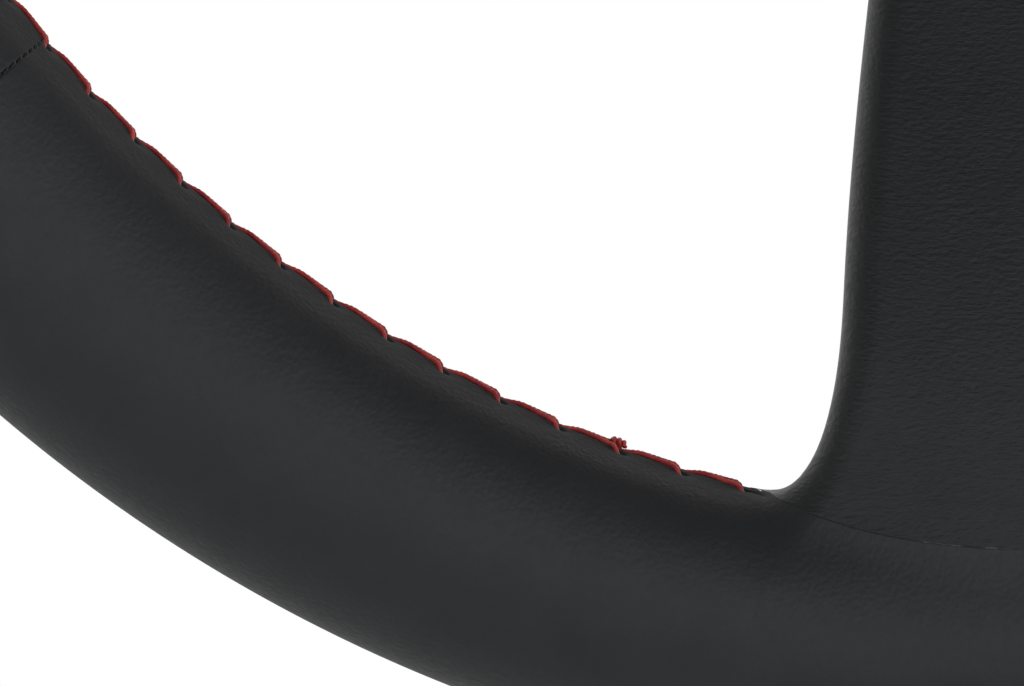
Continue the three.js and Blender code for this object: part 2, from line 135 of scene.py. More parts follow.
def rim_field(x, depth, z):
    half_width = rim_half_width(x, z)
    across = np.abs(np.hypot(x, z) - (WHEEL_RADIUS - half_width)) / half_width
    along = np.abs(depth - RIM_DEPTH) / RIM_HALF_DEPTH
    size = (across**RIM_ROUNDNESS + along**RIM_ROUNDNESS) ** (1 / RIM_ROUNDNESS)
    return (size - 1) * RIM_HALF_DEPTH


SPOKE_CURVE = np.polyfit(*np.transpose(SPOKE_SIDE), 3)


def spoke_half_width(v):
    """Half of a spoke's width at a distance from the wheel's centre."""
    side = np.polyval(SPOKE_CURVE, v / MM) * MM
    reach = np.clip((v - SPOKE_FLARE_START) / (SPOKE_FLARE_END - SPOKE_FLARE_START), 0, 1.2)
    return side + SPOKE_FLARE * reach**2.8


def spoke_depth(v):
    return DISH_DEPTH[0] + (DISH_DEPTH[1] - DISH_DEPTH[0]) * smooth(*DISH, v)


def spoke_slope(v):
    return (spoke_depth(v + MM) - spoke_depth(v - MM)) / (2 * MM)


def spoke_field(x, depth, z, way):
    """The field of one spoke, whose way is (x, z) along it from the wheel's centre."""
    v = x * way[0] + z * way[1]
    u = -x * way[1] + z * way[0]
    half_width = spoke_half_width(v)
    off = np.abs(depth - spoke_depth(v)) / np.sqrt(1 + spoke_slope(v) ** 2)
    fall = SPOKE_CROWN[0] + SPOKE_CROWN[1] * smooth(126 * MM, 150 * MM, v)
    crown = fall * np.clip(u / half_width, -1, 1) ** 2
    side = np.abs(u) - (half_width - SPOKE_EDGE)
    face = off - (SPOKE_HALF_DEPTH - crown - SPOKE_EDGE)
    outside = np.hypot(np.maximum(side, 0), np.maximum(face, 0))
    field = outside + np.minimum(np.maximum(side, face), 0) - SPOKE_EDGE
    ends = np.maximum(v - (WHEEL_RADIUS - RIM_HALF_WIDTH), 30 * MM - v)
    return np.maximum(field, ends)


def body_field(points):
    """Negative inside the leather, positive outside; points is (..., 3)."""
    x, depth, z = points[..., 0], -points[..., 1], points[..., 2]
    rim = rim_field(x, depth, z)
    spokes = np.minimum.reduce([spoke_field(x, depth, z, way) for way in SPOKES.values()])
    crest = smooth(RIM_DEPTH + 7 * MM, RIM_DEPTH + 13 * MM, depth)
    fillet = FILLET + (FRONT_FILLET - FILLET) * crest
    near = np.clip(1 - np.abs(rim - spokes) / fillet, 0, 1)
    return np.minimum(rim, spokes) - near**3 * fillet / 6


def body_normal(points):
    step = 0.05 * MM
    parts = []
    for axis in np.eye(3) * step:
        parts.append(body_field(points + axis) - body_field(points - axis))
    normal = np.stack(parts, -1)
    return normal / np.linalg.norm(normal, axis=-1, keepdims=True)


def rim_frame(theta):
    """Centre of the rim's section at angles from 3 o'clock, and the outward direction there."""
    out = np.stack([np.cos(theta), np.zeros_like(theta), np.sin(theta)], -1)
    half_width = rim_half_width(out[..., 0], out[..., 2])
    centre = out * (WHEEL_RADIUS - half_width)[..., None]
    centre[..., 1] = -RIM_DEPTH
    return centre, out


def rim_point(theta, phi):
    """The body's surface at angle theta round the wheel and phi round the rim's section.

    phi is 0 at the outer edge, a quarter turn at the front crest and half a turn at the inner
    edge. The ray starts at the middle of the section.
    """
    theta, phi = np.broadcast_arrays(theta, phi)
    centre, out = rim_frame(theta)
    way = out * np.cos(phi)[..., None]
    way[..., 1] = -np.sin(phi)
    low = np.full(theta.shape, 6 * MM)
    high = np.full(theta.shape, 34 * MM)
    for _ in range(24):
        middle = (low + high) / 2
        inside = body_field(centre + way * middle[..., None]) < 0
        low = np.where(inside, middle, low)
        high = np.where(inside, high, middle)
    return centre + way * low[..., None]


# ------ meshes


def add_object(name, data):
    piece = bpy.data.objects.new(name, data)
    bpy.context.scene.collection.objects.link(piece)
    return piece


def mesh_piece(name, points, faces, material, node=None, uv=None):
    """A smooth piece of the wheel from an array of points and a list of arrays of faces."""
    corners = np.concatenate([part.ravel() for part in faces])
    sides = np.concatenate([np.full(len(part), part.shape[1]) for part in faces])
    mesh = bpy.data.meshes.new(name)
    mesh.vertices.add(len(points))
    mesh.vertices.foreach_set("co", np.asarray(points, np.float32).ravel())
    mesh.loops.add(len(corners))
    mesh.loops.foreach_set("vertex_index", corners.astype(np.int32))
    mesh.polygons.add(len(sides))
    starts = np.concatenate([[0], np.cumsum(sides)[:-1]])
    mesh.polygons.foreach_set("loop_start", starts.astype(np.int32))
    mesh.update(calc_edges=True)
    mesh.validate()
    mesh.shade_smooth()
    if uv is not None:
        layer = mesh.uv_layers.new(name="grain")
        layer.data.foreach_set("uv", np.asarray(uv, np.float32)[corners].ravel())
    mesh.materials.append(material)
    piece = add_object(name, mesh)
    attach(piece, "wheel")
    if node:
        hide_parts(node)
    return piece


def grid_faces(rows, columns, close=False):
    """Quads of a grid of points, row by row, closed along the columns if asked."""
    row = np.arange(rows - 1)[:, None] * columns
    column = np.arange(columns if close else columns - 1)[None, :]
    after = (column + 1) % columns
    quads = [row + column, row + columns + column, row + columns + after, row + after]
    return np.stack(quads, -1).reshape(-1, 4)


def edge_spacing(length, step, fine):
    """Places from 0 to length, close together within reach of both ends."""
    fine = np.array(fine)
    count = max(2, int(round((length - 2 * fine[-1]) / step)))
    middle = np.linspace(fine[-1], length - fine[-1], count + 1)[1:-1]
    return np.concatenate([fine, middle, length - fine[::-1]])


def rolled(distance, radius):
    """How far a leather edge has turned in, at a distance from the seam."""
    left = np.clip(radius - distance, 0, radius)
    return radius - np.sqrt(radius**2 - left**2)


STRIP = [d * MM for d in (0, 0.06, 0.14, 0.24, 0.36, 0.5, 0.68, 0.9, 1.15, 1.4, 1.7, 2, 2.25, 2.5,
                          2.72, 2.94, 3.12, 3.3, 3.48, 3.68, 3.9, 4.15, 4.5, 5)]
FINE = [d * MM for d in (0, 0.06, 0.14, 0.24, 0.36, 0.5, 0.68, 0.9, 1.2, 1.6, 2.1, 2.7, 3.4, 4.2)]

# ------ seams of the rim


def spoke_angle(way):
    return math.atan2(way[1], way[0])


def from_spoke(theta):
    """Angle to the nearest spoke's axis, positive anticlockwise."""
    turns = [theta - spoke_angle(way) for way in SPOKES.values()]
    stack = np.stack([np.arctan2(np.sin(turn), np.cos(turn)) for turn in turns])
    nearest = np.argmin(np.abs(stack), axis=0)
    return np.take_along_axis(stack, nearest[None], 0)[0]


def lacing_phi(theta):
    """Where round the section the laced seam lies: just in front of the inner edge."""
    from_bottom = np.abs(np.arctan2(np.cos(theta), -np.sin(theta)))
    shift = 0.3 + 0.9 * (1 - smooth(math.radians(15), math.radians(55), from_bottom))
    return math.pi - shift * MM / RIM_HALF_DEPTH


def seam_phi(theta, front):
    """The edge of the rim's leather, on the front or the back, as an angle round the section."""
    theta = np.atleast_1d(theta)
    laced = lacing_phi(theta)
    edge = laced.copy() if front else laced - 2 * math.pi
    turn = np.abs(from_spoke(theta))
    near = np.flatnonzero(turn < SPOKE_SEAM_HALF_ANGLE)
    if not len(near):
        return edge
    trial = np.linspace(math.radians(91), math.radians(158), 48)
    trial = trial if front else -trial
    hits = rim_point(theta[near][:, None], trial[None, :])
    radius = np.hypot(hits[..., 0], hits[..., 2])
    share = turn[near] / SPOKE_SEAM_HALF_ANGLE
    wanted = SPOKE_SEAM_RADIUS - SPOKE_SEAM_SWEEP * share**2.9
    leave = smooth(0.9, 1, share)
    for i, k in enumerate(near):
        on_spoke = np.interp(-wanted[i], -radius[i], trial)
        edge[k] = on_spoke + (edge[k] - on_spoke) * leave[i]
    return edge


def lacing_runs():
    """The laced stretches: first angle, last angle and number of stitches."""
    half = SPOKE_SEAM_HALF_ANGLE
    ends = {"lacing_left": (math.pi, 1.5 * math.pi), "lacing_right": (1.5 * math.pi, 2 * math.pi),
            "lacing_top": (0, math.pi)}
    return {name: (a + half, b - half, STITCHES[name]) for name, (a, b) in ends.items()}


def stitch_wave(theta):
    """Position along the lacing in stitches, and 1 where there is lacing."""
    theta = np.mod(theta, 2 * math.pi)
    wave, laced = np.zeros_like(theta), np.zeros_like(theta)
    for first, last, count in lacing_runs().values():
        share = (theta - first) / (last - first)
        wave = np.where((share >= 0) & (share <= 1), share * count, wave)
        margin = 0.3 / count
        laced = np.maximum(laced, smooth(-margin, 0, share) * smooth(1 + margin, 1, share))
    return wave, laced


def strand_aside(t):
    """How far beside the seam a strand lies, t being its share of the way to its hole."""
    return STITCH_HOLE * np.clip(t, 0, 1) ** 1.3


def laced_relief(wave, edge):
    """Height of the leather beside the lacing, at a distance from its laced edge."""
    along = (wave - STITCH_END - np.round(wave - STITCH_END)) * STITCH
    aside = edge - STITCH_HOLE
    hole = np.exp(-(((along / HOLE_SIZE[0]) ** 2 + (aside / HOLE_SIZE[1]) ** 2) ** 2))
    pull = np.exp(-((along / PULL_SIZE[0]) ** 2 + (aside / PULL_SIZE[1]) ** 2))
    t = np.mod(wave, 1) / STITCH_END
    line = np.exp(-(((edge - strand_aside(t)) / LINE_WIDTH) ** 2)) * smooth(0, 0.15, t)
    line = line * smooth(1.02, 0.98, t)
    puff = np.exp(-(((edge - PUFF[0]) / PUFF[1]) ** 2)) * np.sin(np.pi * np.clip(t, 0, 1)) ** 2
    return (0.08 * puff - 0.14 * line - 0.22 * pull - 0.8 * hole) * MM


# ------ rim leather


def rim_surface(theta, distance, start, end, side):
    """Points of the rim's leather at a distance from its front or back edge, with their grain."""
    edge = seam_phi(theta, side > 0)
    phi = edge[:, None] - side * distance / RIM_HALF_DEPTH
    angle = np.repeat(theta[:, None], phi.shape[1], 1)
    points = rim_point(angle, phi)
    normal = body_normal(points)
    wave, laced = stitch_wave(angle)
    to_end = np.minimum(angle - start, end - angle) * WHEEL_RADIUS
    plain = 1 - laced
    seam_roll = rolled(distance, LACED_ROLL) * laced + rolled(distance, SPOKE_SEAM_ROLL) * plain
    inward = np.maximum(seam_roll, rolled(to_end, PANEL_ROLL))
    height = laced_relief(wave, distance) * laced - inward
    points = points + normal * height[..., None]
    grain = np.stack([angle * (WHEEL_RADIUS - RIM_HALF_WIDTH), phi * RIM_HALF_DEPTH], -1)
    return points, grain


def rim_panel(side_name, start, end, material):
    """One leather panel of the rim between two angles.

    The middle is a plain grid. The strip along each edge is three times finer round the wheel,
    for the stitch holes, and faces with six corners join it to the middle.
    """
    arc = (end - start) * WHEEL_RADIUS
    theta = start + edge_spacing(arc, 0.95 * MM, FINE) / WHEEL_RADIUS
    rows = len(theta)
    dense = np.interp(np.arange(3 * rows - 2) / 3, np.arange(rows), theta)
    strip = np.array(STRIP)
    length = (seam_phi(theta, True) - seam_phi(theta, False)) * RIM_HALF_DEPTH
    reach = strip[-1] + 0.5 * MM
    share = np.linspace(0, 1, int((length.max() - 2 * reach) / (1.15 * MM)))
    middle = reach + share[None, :] * (length[:, None] - 2 * reach)

    parts, faces, total = [], [], 0
    columns = len(strip)
    for side in (1, -1):
        distance = np.repeat(strip[None, :], len(dense), 0)
        parts.append(rim_surface(dense, distance, start, end, side))
        faces.append(grid_faces(len(dense), columns)[:, ::side] + total)
        total += len(dense) * columns
    parts.append(rim_surface(theta, middle, start, end, 1))
    faces.append(grid_faces(rows, len(share)) + total)
    row = np.arange(rows - 1)
    for side, offset, column in ((1, 0, 0), (-1, len(dense) * columns, len(share) - 1)):
        fine = [offset + (3 * row + k) * columns + columns - 1 for k in range(4)]
        coarse = [total + (row + k) * len(share) + column for k in (1, 0)]
        faces.append(np.stack(fine + coarse, -1)[:, ::side])
    points = np.concatenate([part[0].reshape(-1, 3) for part in parts])
    grain = np.concatenate([part[1].reshape(-1, 2) for part in parts])
    mesh_piece(f"rim_panel_{side_name}", points, faces, material,
               f"rim_leather_{side_name}", grain)


# ------ spoke leather


def evenly(path, count):
    """Points at equal steps along a path, without its last point."""
    steps = np.linalg.norm(np.diff(path, axis=0), axis=1)
    at = np.concatenate([[0], np.cumsum(steps)])
    where = np.linspace(0, at[-1], count + 1)[:-1]
    return np.stack([np.interp(where, at, values) for values in path.T], -1)


def section_path(v, count):
    """Points round a spoke's rounded section at v, from its left side over the front and back."""
    w, h, r = spoke_half_width(v), SPOKE_HALF_DEPTH, SPOKE_EDGE
    turn = np.linspace(0, math.pi / 2, 7)
    left = [(-w + r - r * math.cos(a), h - r + r * math.sin(a)) for a in turn]
    right = [(w - r + r * math.sin(a), h - r + r * math.cos(a)) for a in turn]
    half = evenly(np.array([(-w, 0), *left, *right, (w, 0)]), count // 2)
    return np.concatenate([half, -half])


def seam_loop(angle, count):
    """The closed seam between a spoke's leather and the rim's, front first, then back."""
    half = SPOKE_SEAM_HALF_ANGLE
    halves = []
    for front in (True, False):
        theta = angle + np.linspace(-half, half, 241) * (1 if front else -1)
        halves.append(evenly(rim_point(theta, seam_phi(theta, front)), count // 2))
    return np.concatenate(halves)


def settle(points, times):
    """Moves points on to the body's surface along its gradient."""
    for _ in range(times):
        step = np.clip(body_field(points), -2 * MM, 2 * MM)
        points = points - body_normal(points) * (0.9 * step)[..., None]
    return points


def spoke_cover(side_name, way, material):
    """The leather sleeve of one spoke, from its tucked end at the hub to its seam on the rim."""
    count = 180
    straight = np.concatenate([SPOKE_START + np.array(FINE),
                               np.arange(52.8 * MM, STRAIGHT_END, 0.9 * MM)])
    rows = []
    for v in straight:
        u, n = section_path(v, count).T
        depth = spoke_depth(v) + n
        rows.append(np.stack([way[0] * v - way[1] * u, -depth, way[1] * v + way[0] * u], -1))
    start = rows[-1]
    angle = spoke_angle(way)
    seam = seam_loop(angle, count)
    chord = seam - start
    reach = np.linalg.norm(chord, axis=1, keepdims=True)
    ahead = np.array([way[0], -spoke_slope(STRAIGHT_END), way[1]])
    mean_reach = float(reach.mean())
    last = np.concatenate([np.arange(0.8 * MM, mean_reach - FINE[-1], 0.8 * MM),
                           mean_reach - np.array(FINE)[::-1]])
    for t in last / mean_reach:
        a, b, c = 2 * t**3 - 3 * t**2 + 1, t**3 - 2 * t**2 + t, 3 * t**2 - 2 * t**3
        rows.append(start * a + ahead * reach * b + seam * c + chord * (t**3 - t**2))
    points = np.array(rows)
    points[1:-1] = settle(points[1:-1], 6)
    blend = len(straight) - 20
    relaxed = slice(1, -len(FINE))
    for _ in range(12):
        part = points[blend:]
        beside = (np.roll(part, 1, 1) + np.roll(part, -1, 1)) / 2
        part[relaxed] = (part[relaxed] + beside[relaxed]) / 2
        points[blend:-1] = settle(points[blend:-1], 1)
    points[:-1] = settle(points[:-1], 3)
    normal = body_normal(points)

    to_seam = np.linalg.norm(np.diff(points, axis=0), axis=-1)[::-1].cumsum(0)[::-1]
    to_seam = np.concatenate([to_seam, np.zeros((1, count))])
    inward = rolled(to_seam, SPOKE_SEAM_ROLL)
    points = points - normal * inward[..., None]
    centre = points.mean(axis=1, keepdims=True)
    tuck = rolled(np.minimum(straight - SPOKE_START, HUB_TUCK), HUB_TUCK)
    tucked = points[: len(straight)]
    toward = centre[: len(straight)] - tucked
    toward /= np.linalg.norm(toward, axis=-1, keepdims=True)
    tucked += toward * tuck[:, None, None]

    distance = np.concatenate([np.zeros((1, count)),
                               np.linalg.norm(np.diff(points, axis=0), axis=-1).cumsum(0)])
    steps = np.linalg.norm(np.roll(points, -1, 1) - points, axis=-1)
    across = np.concatenate([np.zeros((len(points), 1)), steps.cumsum(1)], 1)
    points = np.concatenate([points, points[:, :1]], 1)
    distance = np.concatenate([distance, distance[:, :1]], 1)
    uv = np.stack([across, distance + 3 * angle], -1)
    faces = grid_faces(*points.shape[:2])[:, ::-1]
    piece = mesh_piece(f"spoke_cover_{side_name}", points.reshape(-1, 3), [faces], material,
                       f"spoke_leather_{side_name}", uv.reshape(-1, 2))
    merge_doubles(piece)


def padding(material):
    """The moulded foam: the frame's solid, smoothed and kept just under the leather."""
    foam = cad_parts["rim_padding"].copy()
    foam.data = foam.data.copy()
    foam.name = foam.data.name = "moulded_padding"
    bpy.context.scene.collection.objects.link(foam)
    sheet = bmesh.new()
    sheet.from_mesh(foam.data)
    bmesh.ops.subdivide_edges(sheet, edges=sheet.edges, cuts=2, use_grid_fill=True)
    bmesh.ops.triangulate(sheet, faces=sheet.faces)
    points = np.array([vertex.co for vertex in sheet.verts])
    for _ in range(4):
        depth = np.clip(body_field(points) + LEATHER + 0.3 * MM, 0, 6 * MM)
        points = points - body_normal(points) * depth[:, None]
    for vertex, place in zip(sheet.verts, points):
        vertex.co = place
    sheet.to_mesh(foam.data)
    sheet.free()
    foam.data.materials.clear()
    foam.data.materials.append(material)
    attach(foam, "wheel")
    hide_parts("rim_padding")


def merge_doubles(piece):
    sheet = bmesh.new()
    sheet.from_mesh(piece.data)
    bmesh.ops.remove_doubles(sheet, verts=sheet.verts, dist=0.005 * MM)
    sheet.to_mesh(piece.data)
    sheet.free()


# ------ threads


def twisted_strand(path, up, radius, plies=THREAD_PLIES, sides=6, pitch=THREAD_PITCH):
    """Points and faces of a twisted thread along each path, shape (strands, steps, 3)."""
    tangent = np.gradient(path, axis=1)
    tangent /= np.linalg.norm(tangent, axis=-1, keepdims=True)
    across = np.cross(tangent, up)
    across /= np.linalg.norm(across, axis=-1, keepdims=True)
    lift = np.cross(across, tangent)
    steps = np.linalg.norm(np.diff(path, axis=1), axis=-1)
    run = np.concatenate([np.zeros((len(path), 1)), steps.cumsum(1)], 1)
    ply_radius = radius * 0.66
    points, faces = [], []
    total = 0
    for ply in range(plies):
        turn = 2 * np.pi * (run / pitch + ply / plies)
        centre = path + (radius - ply_radius) * (
            across * np.cos(turn)[..., None] + lift * np.sin(turn)[..., None])
        ring = 2 * np.pi * np.arange(sides) / sides
        spoke = across[:, :, None] * np.cos(ring)[:, None] + lift[:, :, None] * np.sin(ring)[:, None]
        tube = centre[:, :, None] + ply_radius * spoke
        for strand in tube:
            points.append(strand.reshape(-1, 3))
            faces.append(grid_faces(len(strand), sides, close=True) + total)
            total += strand.shape[0] * sides
    return np.concatenate(points), np.concatenate(faces)


def stitch_path(theta, turn, side):
    """Strands from the middle of the seam to a hole beside it, lying over the leather's edge."""
    t = np.concatenate([np.linspace(-0.14, 0.74, 14), np.linspace(0.78, 1.02, 11)])
    along = theta[:, None] + turn * STITCH_END * t[None, :]
    phi = lacing_phi(along) - side * strand_aside(t)[None, :] / RIM_HALF_DEPTH
    points = rim_point(along, phi)
    normal = body_normal(points)
    height = 0.22 - 0.52 * (1 - smooth(-0.14, 0.3, t)) - 1.13 * smooth(0.76, 1.02, t) ** 2
    return points + normal * (height * MM)[None, :, None], normal


def lacing(name, first, last, count, material):
    """One run of lacing: a strand to the front and one to the back at each stitch."""
    turn = (last - first) / count
    theta = first + turn * np.arange(count)
    paths, ups = zip(*[stitch_path(theta, turn, side) for side in (1, -1)])
    points, faces = twisted_strand(np.concatenate(paths), np.concatenate(ups), THREAD)
    mesh_piece(f"{name}_thread", points, [faces], material, name)


def seam_thread(name, theta, material):
    """Small stitches sunk in the seam between two panels, from the lacing round to the back."""
    pitch = 1.25 * MM
    reach = lacing_phi(np.array([theta]))[0] - 1.5 * MM / RIM_HALF_DEPTH
    count = int(2 * reach * RIM_HALF_DEPTH / pitch)
    phi = np.linspace(reach, -reach, count)
    t = np.linspace(-0.5, 0.5, 7)
    along = phi[:, None] + 0.9 * (phi[1] - phi[0]) * t[None, :]
    slant = 0.2 * MM * 2 * t[None, :] / WHEEL_RADIUS
    points = rim_point(theta + slant, along)
    normal = body_normal(points)
    sink = 0.36 * MM - 0.32 * MM * np.cos(math.pi * t)
    path = points - normal * sink[None, :, None]
    thread, faces = twisted_strand(path, normal, 0.19 * MM, plies=2, sides=5, pitch=1 * MM)
    mesh_piece(name, thread, [faces], material)


def spoke_seam_painted_highlight(name, angle, material):
    """A fine pale thread in the seam across a spoke, which shows here and there: painted highlight
    for the light along the seam's edge.
    """
    share = np.linspace(-0.4, 0.4, 160)
    theta = angle + share * SPOKE_SEAM_HALF_ANGLE
    path = rim_point(theta, seam_phi(theta, True))
    normal = body_normal(path)
    show = np.sin(61 * share) + np.sin(37 * share + 1) + np.sin(113 * share + 2)
    path = path - normal * ((0.075 - 0.035 * show) * MM)[:, None]
    points, faces = twisted_strand(path[None], normal[None], 0.07 * MM, plies=2, sides=5,
                                   pitch=0.8 * MM)
    mesh_piece(name, points, [faces], material)


def knot(theta, material):
    """The barrel knot where a new length of lacing thread was tied in."""
    t = np.linspace(-1, 1, 90)[:, None]
    place = rim_point(np.array([theta]), lacing_phi(np.array([theta])))[0]
    up = body_normal(place)
    along = np.array([-math.sin(theta), 0, math.cos(theta)])
    across = np.cross(along, up)
    turn = KNOT_TURNS * math.pi * t
    radius = 0.36 * MM * np.sqrt(1 - 0.75 * t**2)
    path = place + up * 0.42 * MM + along * t * KNOT_LENGTH / 2
    path = path + radius * (np.cos(turn) * up + np.sin(turn) * across)
    guide = np.broadcast_to(along, (1, len(path), 3))
    points, faces = twisted_strand(path[None], guide, 0.3 * MM, plies=2, sides=8, pitch=1.4 * MM)
    mesh_piece("lacing_knot", points, [faces], material)


# ------ materials


def plug(tree, node, inputs):
    """Sets inputs of a node, each to a number or colour, or links a socket to it."""
    for name, value in inputs.items():
        if isinstance(value, bpy.types.NodeSocket):
            tree.links.new(value, node.inputs[name])
        else:
            node.inputs[name].default_value = value


def add_node(tree, kind, inputs, **settings):
    node = tree.nodes.new(kind)
    for name, value in settings.items():
        setattr(node, name, value)
    plug(tree, node, inputs)
    return node


def new_material(name):
    material = bpy.data.materials.new(name)
    material.use_nodes = True
    return material, material.node_tree


def surface(tree, inputs):
    plug(tree, tree.nodes["Principled BSDF"], inputs)


def grey(value):
    return (value, value, value)


def shade(share, colour):
    return tuple(share * c for c in colour)


def ramp(tree, source, low, high, start=0.3, end=0.7):
    """A blend from one colour to another while the source goes from start to end."""
    node = add_node(tree, "ShaderNodeValToRGB", {"Fac": source})
    for element, place, colour in zip(node.color_ramp.elements, (start, end), (low, high)):
        element.position = place
        element.color = (*colour, 1)
    return node.outputs["Color"]


def mixed(tree, share, first, second):
    """A blend of two colours, each of them a colour or a socket."""
    node = add_node(tree, "ShaderNodeMix", {"Factor": share}, data_type="RGBA")
    for name, colour in (("A", first), ("B", second)):
        plug(tree, node, {name: (*colour, 1) if isinstance(colour, tuple) else colour})
    return node.outputs["Result"]


def eased(tree, source, low, high):
    inputs = {"Value": source, "From Min": low, "From Max": high}
    node = add_node(tree, "ShaderNodeMapRange", inputs, interpolation_type="SMOOTHSTEP")
    return node.outputs["Result"]


def calculated(tree, operation, first, second):
    """A Math node on a socket and a number or another socket."""
    return add_node(tree, "ShaderNodeMath", {0: first, 1: second}, operation=operation).outputs[0]


def scaled_uv(tree, scale):
    uv = add_node(tree, "ShaderNodeUVMap", {}, uv_map="grain").outputs["UV"]
    return add_node(tree, "ShaderNodeMapping", {"Vector": uv, "Scale": scale}).outputs["Vector"]


def object_place(tree):
    return tree.nodes.new("ShaderNodeTexCoord").outputs["Object"]


def bump(tree, height, distance, strength, before=None):
    inputs = {"Height": height, "Distance": distance, "Strength": strength}
    if before:
        inputs["Normal"] = before
    return add_node(tree, "ShaderNodeBump", inputs).outputs["Normal"]


def noise(tree, vector, scale, detail=3, roughness=0.55):
    inputs = {"Vector": vector, "Scale": scale, "Detail": detail, "Roughness": roughness}
    return add_node(tree, "ShaderNodeTexNoise", inputs).outputs["Fac"]


def leather_material(name, creases, tint, margin=False):
    """Black nappa leather: fine cells, slow waves and, on the spokes, creases across them.

    Along the rim's laced edge, the margin, the leather is dull, and its colour is darkened as
    painted shade beside the lacing.
    """
    material, tree = new_material(name)
    even = scaled_uv(tree, (1, 1, 1))
    colour = ramp(tree, noise(tree, even, 160, 4), shade(0.82, tint), tint)
    gloss = ramp(tree, noise(tree, even, 900, 2), grey(0.44), grey(0.53))
    if margin:
        # Painted shade: the colour darkens to half within the band beside the lacing, and the
        # leather turns dull there
        edge = laced_painted_shade(tree, even)
        colour = mixed(tree, edge, colour, shade(0.5, tint))
        gloss = mixed(tree, edge, gloss, grey(0.9))
    inputs = {"Vector": even, "Scale": 1700, "Smoothness": 0.6}
    cells = add_node(tree, "ShaderNodeTexVoronoi", inputs, feature="SMOOTH_F1")
    grain = bump(tree, cells.outputs["Distance"], 0.09 * MM, 0.5)
    pores = bump(tree, noise(tree, even, 3200, 2), 0.04 * MM, 0.5, grain)
    folds = noise(tree, scaled_uv(tree, (0.38, 1, 1)), 2100, 4, 0.6)
    normal = bump(tree, folds, 0.14 * MM, creases, pores)
    surface(tree, {"Base Color": colour, "Roughness": gloss, "Specular IOR Level": 0.42,
                   "Normal": normal})
    return material


def laced_painted_shade(tree, grain):
    """Painted shade mask: 1 at the rim's inner edge, 0 a few millimetres away, from the grain's
    second axis.
    """
    round_section = add_node(tree, "ShaderNodeSeparateXYZ", {0: grain}).outputs["Y"]
    place = calculated(tree, "ABSOLUTE", round_section, 0)
    inner = math.pi * RIM_HALF_DEPTH
    return eased(tree, place, inner - LACED_SHADE_BAND[1], inner - LACED_SHADE_BAND[0])


def thread_material(name, colour, bright):
    material, tree = new_material(name)
    place = object_place(tree)
    tone = ramp(tree, noise(tree, place, 420), colour, bright, 0.35, 0.75)
    fibres = bump(tree, noise(tree, place, 5200, 2), 0.05 * MM, 0.5)
    surface(tree, {"Base Color": tone, "Roughness": 0.5, "Sheen Weight": 0.25,
                   "Sheen Roughness": 0.4, "Normal": fibres})
    return material


def metal_material(name, colour, roughness, metallic=1.0, grain=0.15, scale=2600):
    """Metal with a fine blasted or turned texture and slight variation in its gloss."""
    material, tree = new_material(name)
    place = object_place(tree)
    tone = ramp(tree, noise(tree, place, 60), shade(0.95, colour), colour)
    slow = noise(tree, place, 240, 4)
    gloss = ramp(tree, slow, grey(0.95 * roughness), grey(1.06 * roughness))
    fine = bump(tree, noise(tree, place, scale), 0.02 * MM, grain)
    surface(tree, {"Base Color": tone, "Roughness": gloss, "Metallic": metallic, "Normal": fine})
    return material


def plain_material(name, colour, roughness, grain=0.2, scale=1500):
    """Moulded rubber, foam or plastic with a fine even texture."""
    return metal_material(name, colour, roughness, 0.0, grain, scale)


# ------ turned and cut pieces
# From here to the springs, outlines, depths and radii are in millimetres.

BOLT_CIRCLE = 35
BOLT_HOLE = 2.75
FLANGE_HOLE = 2.6
BALL_CIRCLE = 18
BALL_BORE = 4.15
BALL_DEPTH = 42
SPLINE_TEETH = 16
SPLINE_END = 29
COLUMN_FLANGE = 9.1
# The radius of an outline's points on the axis, which keeps its faces from collapsing
AXIS = 0.01


def node_span(node):
    """Back depth, front depth and outer radius of a node turned about the column's axis."""
    low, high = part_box(node)
    return -high.y / MM, -low.y / MM, high.x / MM


def apply_modifiers(piece):
    graph = bpy.context.evaluated_depsgraph_get()
    mesh = bpy.data.meshes.new_from_object(piece.evaluated_get(graph))
    piece.modifiers.clear()
    old = piece.data
    piece.data = mesh
    bpy.data.meshes.remove(old)


def carve(piece, cutters):
    """Cuts meshes out of a piece, and removes the cutters."""
    for cutter in cutters:
        change = piece.modifiers.new("cut", "BOOLEAN")
        change.object = cutter
        change.solver = "EXACT"
    bpy.context.view_layer.update()
    apply_modifiers(piece)
    for cutter in cutters:
        bpy.data.objects.remove(cutter)


def soften(piece, width, segments=2, angle=32):
    """Rounds a piece's sharp edges a little and shades it smooth between them."""
    change = piece.modifiers.new("bevel", "BEVEL")
    change.width = width * MM
    change.segments = segments
    change.limit_method = "ANGLE"
    change.angle_limit = math.radians(angle)
    change.use_clamp_overlap = True
    bpy.context.view_layer.update()
    apply_modifiers(piece)
    piece.data.shade_smooth()
    piece.data.set_sharp_from_angle(angle=math.radians(angle))


def raw_object(name, points, faces):
    """A closed mesh with its doubled points merged and its faces turned outwards."""
    mesh = bpy.data.meshes.new(name)
    mesh.from_pydata([tuple(p) for p in points], [], faces)
    piece = add_object(name, mesh)
    sheet = bmesh.new()
    sheet.from_mesh(mesh)
    bmesh.ops.remove_doubles(sheet, verts=sheet.verts, dist=0.002 * MM)
    bmesh.ops.dissolve_degenerate(sheet, edges=sheet.edges, dist=0.0005 * MM)
    bmesh.ops.recalc_face_normals(sheet, faces=sheet.faces)
    sheet.to_mesh(mesh)
    sheet.free()
    return piece


